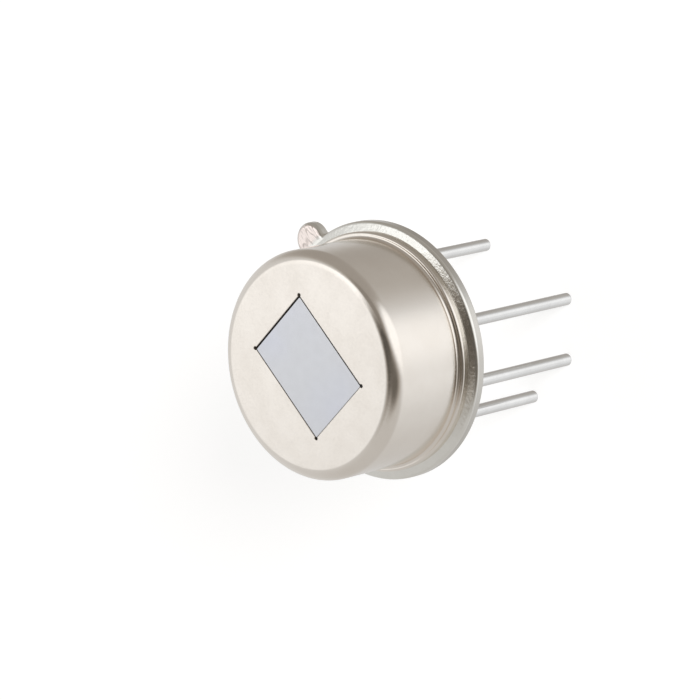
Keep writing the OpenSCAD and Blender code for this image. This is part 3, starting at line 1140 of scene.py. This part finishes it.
@dataclass
class LeadSet:
    """The wire leads and what holds them in the header."""

    radius: float = 0.225
    tip_z: float = -6.9
    tip_round: float = 0.06
    top_z: float = 2.27
    seal_radius: float = 0.58
    seal_hollow: float = 0.05
    platform_z: float = 1.07
    braze_radius: float = 0.385
    braze_fillet: float = 0.14
    guard: float = 0.02
    steps: int = 48
    tip_steps: int = 6
    seal_steps: int = 12
    braze_steps: int = 8
    leads: LeadCircle = field(default_factory=LeadCircle)

    def _stand(self, work: Workpiece, number: int) -> Workpiece:
        """Revolves a section round the Z axis, moves it to a lead's place and returns it."""
        work.revolve(self.steps)
        work.move(*self.leads.spot(number), 0.0)
        return work

    def lead(self, number: int) -> Object:
        """Builds one lead.

        Args:
            number: The lead's number.

        Returns:
            The object.
        """
        work = Workpiece()
        corner = (self.radius - self.tip_round, self.tip_z + self.tip_round)
        vert = work.start(0.0, 0.0, self.tip_z)
        vert = work.run(vert, corner[0], self.tip_z, self.guard)
        vert = work.turn(vert, corner, -90, self.tip_steps)
        vert = work.run(vert, self.radius, self.top_z, self.guard)
        work.run(vert, 0.0, self.top_z)
        work = self._stand(work, number)
        return work.finish(f"plated_lead_{number}", Slot.LEAD, LEAD_PLATE, [f"lead_{number}"])

    def seal(self, number: int) -> Object:
        """Builds the glass bead or the braze round one lead.

        Args:
            number: The lead's number.

        Returns:
            The object.
        """
        if number == self.leads.earth:
            work = self._stand(self._braze_section(), number)
            return work.finish(f"silver_braze_{number}", Slot.BRAZE, BRAZE_METAL, ["ground_braze"])
        work = self._stand(self._bead_section(), number)
        return work.finish(f"glass_bead_{number}", Slot.GLASS, SEAL_GLASS, [f"glass_seal_{number}"])

    def _braze_section(self) -> Workpiece:
        """Draws the section of the braze, with its fillet on the platform."""
        work = Workpiece()
        fillet = (self.radius + self.braze_fillet, self.platform_z + self.braze_fillet)
        vert = work.start(self.radius, 0.0, 0.0)
        vert = work.run(vert, self.braze_radius, 0.0)
        vert = work.run(vert, self.braze_radius, self.platform_z)
        vert = work.run(vert, fillet[0], self.platform_z)
        vert = work.turn(vert, fillet, 90, self.braze_steps)
        work.run(vert, self.radius, 0.0)
        return work

    def _bead_section(self) -> Workpiece:
        """Draws the section of a glass bead, hollowed a little at both ends."""
        work = Workpiece()
        width = self.seal_radius - self.radius
        curve = ((width / 2) ** 2 + self.seal_hollow**2) / (2 * self.seal_hollow)
        sweep = 2 * math.degrees(math.asin(width / 2 / curve))
        middle = self.radius + width / 2
        vert = work.start(self.radius, 0.0, 0.0)
        vert = work.turn(vert, (middle, self.seal_hollow - curve), sweep, self.seal_steps)
        vert = work.run(vert, self.seal_radius, self.platform_z)
        vert = work.turn(vert, (middle, self.platform_z - self.seal_hollow + curve), sweep, self.seal_steps)
        work.run(vert, self.radius, 0.0)
        return work


@dataclass
class SealedParts:
    """The parts inside the can, which keep their CAD meshes."""

    finishes: dict[str, Finish] = field(default_factory=lambda: dict(INNER_FINISHES))

    def dress(self, nodes: Mapping[str, Object]) -> None:
        """Gives each node its material.

        Args:
            nodes: The CAD nodes by name.
        """
        for name, finish in self.finishes.items():
            mesh = nodes[name].data
            mesh.materials.clear()
            mesh.materials.append(finish.material())
            LOG.info("%s: %s", name, finish.name)


# Studio


@dataclass
class Viewpoint:
    """The photograph's camera in the row frame, fitted to the flange, can, window and lead tips.

    Its place, lens and sensor are in millimetres, and its clip distances in metres.
    """

    place: Point = (45.5483, 84.3561, 103.0478)
    right: Point = (0.533272, 0.516297, -0.670117)
    up: Point = (-0.779736, 0.607208, -0.152677)
    back: Point = (0.328074, 0.603934, 0.726382)
    lens: float = 205.714
    sensor: float = 36.0
    clip: Span = (0.001, 10.0)

    def camera(self) -> Object:
        """Builds the camera and makes it the scene's.

        Returns:
            The camera.
        """
        data = bpy.data.cameras.new("photo_camera")
        data.lens = self.lens
        data.sensor_width = self.sensor
        data.sensor_fit = "HORIZONTAL"
        data.clip_start, data.clip_end = self.clip
        made = bpy.data.objects.new("photo_camera", data)
        turn = Matrix((self.right, self.up, self.back)).transposed().to_4x4()
        made.matrix_world = Matrix.Translation(Vector(self.place) * MM) @ turn
        bpy.context.scene.collection.objects.link(made)
        bpy.context.scene.camera = made
        return made

    def direction(self, across: float, above: float) -> Vector:
        """Returns a direction in the row frame.

        Args:
            across: Degrees to the right of straight ahead of the camera.
            above: Degrees above that.

        Returns:
            The unit vector.
        """
        side, rise = math.radians(across), math.radians(above)
        return (
            Vector(self.right) * (math.sin(side) * math.cos(rise))
            + Vector(self.up) * math.sin(rise)
            - Vector(self.back) * (math.cos(side) * math.cos(rise))
        ).normalized()


@dataclass
class Region:
    """A soft-edged ellipse of the studio's surroundings, placed as the camera sees it.

    Its place is in degrees to the right of and above straight ahead. Its half-sizes and turn are in degrees.
    """

    across: float
    above: float
    half_wide: float
    half_high: float
    level: float
    turn: float
    soft: float


@dataclass
class Studio:
    """The pale floor and the soft light round it."""

    view: Viewpoint
    floor_z: float = -6.9
    floor_size: float = 900.0
    floor_tone: Colour = tone(0.5, 0.5, 0.5)
    floor_roughness: float = 0.9
    floor_lift: float = 0.71
    ground_level: float = 0.56
    sky_level: float = 0.34
    sky_rise: Span = (0.32, 0.63)
    dim_tint: Colour = tone(1.09, 0.97, 0.83)
    tint_levels: Span = (0.0, 0.8)
    regions: tuple[Region, ...] = (
        Region(-101.4, 1.2, 27.8, 11.4, 1.58, turn=-31.2, soft=0.33),
        Region(-34.9, -6.9, 36.1, 63.6, 0.716, turn=88.4, soft=0.50),
        Region(43.6, 18.9, 48.1, 30.1, 0.459, turn=58.7, soft=0.47),
        Region(85.7, 6.2, 49.1, 31.5, 0.857, turn=28.0, soft=0.50),
        Region(127.0, 18.6, 42.9, 25.9, 1.146, turn=3.7, soft=0.32),
        Region(-151.7, 23.9, 22.1, 14.8, 0.25, turn=16.7, soft=0.27),
        Region(-145.8, -9.8, 16.9, 31.2, 0.06, turn=73.8, soft=0.46),
        Region(179.5, -23.9, 40.0, 19.5, 0.13, turn=8.5, soft=0.52),
    )
    front_edge: Span = (-0.01, 0.01)
    sun_strength: float = 1.3
    sun_spread: float = 24.0
    sun_from: Point = (0.27, 0.80, 0.50)

    def build(self) -> None:
        """Builds the floor, the surroundings and the light that casts the shadow."""
        self._floor()
        self._surroundings()
        self._shadow_light()
        bpy.context.scene.view_settings.view_transform = "Standard"

    def _floor(self) -> None:
        """Lays the floor. Reflections pass through it, so that the metal shows the surroundings alone."""
        work = bmesh.new()
        bmesh.ops.create_grid(work, x_segments=1, y_segments=1, size=self.floor_size / 2 * MM)
        bmesh.ops.translate(work, vec=(0.0, 0.0, self.floor_z * MM), verts=work.verts[:])
        made = put_in_scene(work, "pale_floor", self._paper())
        made.visible_glossy = False

    def _paper(self) -> bpy.types.Material:
        """Returns the floor's material: matt paper with an even glow, as pale as in the photograph."""
        material = bpy.data.materials.new("pale_paper")
        material.use_nodes = True
        board = NodeBoard(material.node_tree)
        shader = board.node(
            "ShaderNodeBsdfPrincipled",
            inputs={
                "Base Color": self.floor_tone,
                "Roughness": self.floor_roughness,
                "Specular IOR Level": 0.0,
                "Emission Color": WHITE,
                "Emission Strength": self.floor_lift,
            },
        )
        board.node("ShaderNodeOutputMaterial", inputs={"Surface": shader})
        return material

    def _surroundings(self) -> None:
        """Sets the surroundings: pale below, greyer above, and soft regions of light and dark."""
        world = bpy.data.worlds.new("soft_studio")
        world.use_nodes = True
        bpy.context.scene.world = world
        board = NodeBoard(world.node_tree)
        way = board.node("ShaderNodeTexCoord", output="Generated")
        rise = self._along(board, way, Vector(self.view.up))
        level = rise.band(*self.sky_rise, self.ground_level, self.sky_level)
        for region in self.regions:
            share = self._share(board, way, region)
            level = (1 - share) * level + share * region.level
        tint = board.blend(level.band(*self.tint_levels), self.dim_tint, WHITE)
        background = board.node("ShaderNodeBackground", inputs={"Color": tint, "Strength": level})
        board.node("ShaderNodeOutputWorld", inputs={"Surface": background})

    @staticmethod
    def _along(board: NodeBoard, way: Signal, axis: Vector) -> Signal:
        """Returns the part of a direction that lies along an axis."""
        settings = {"operation": "DOT_PRODUCT"}
        return board.node("ShaderNodeVectorMath", settings, {0: way, 1: axis}, output="Value")

    def _share(self, board: NodeBoard, way: Signal, region: Region) -> Signal:
        """Gives a region's share in each direction.

        Args:
            board: The world's nodes.
            way: The direction.
            region: The region.

        Returns:
            1 inside the region, falling to 0 round its edge.
        """
        turn = math.radians(region.turn)
        east = self.view.direction(region.across + 90, 0)
        north = self.view.direction(region.across, region.above + 90)
        wide = (east * math.cos(turn) + north * math.sin(turn)) / math.sin(math.radians(region.half_wide))
        high = (north * math.cos(turn) - east * math.sin(turn)) / math.sin(math.radians(region.half_high))
        along_wide, along_high = self._along(board, way, wide), self._along(board, way, high)
        reach = (along_wide * along_wide + along_high * along_high).root()
        front = self._along(board, way, self.view.direction(region.across, region.above))
        return reach.fade(1 - region.soft, 1 + region.soft) * front.band(*self.front_edge)

    def _shadow_light(self) -> None:
        """Hangs the broad light that casts the soft shadow on the floor and isn't seen in the metal."""
        data = bpy.data.lights.new("broad_light", "SUN")
        data.energy = self.sun_strength
        data.angle = math.radians(self.sun_spread)
        made = bpy.data.objects.new("broad_light", data)
        made.matrix_world = Vector(self.sun_from).to_track_quat("Z", "Y").to_matrix().to_4x4()
        made.visible_glossy = False
        bpy.context.scene.collection.objects.link(made)


def main() -> None:
    """Builds the sensor and its studio in order."""
    logging.basicConfig(level=logging.INFO, format="%(name)s: %(message)s")
    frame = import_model()
    can = Can()
    can.shell()
    can.filter()
    Header().plate()
    leads = LeadSet()
    for number in leads.leads.turns:
        leads.lead(number)
        leads.seal(number)
    SealedParts().dress(frame["nodes"])
    view = Viewpoint()
    view.camera()
    Studio(view).build()


if __name__ == "__main__":
    main()
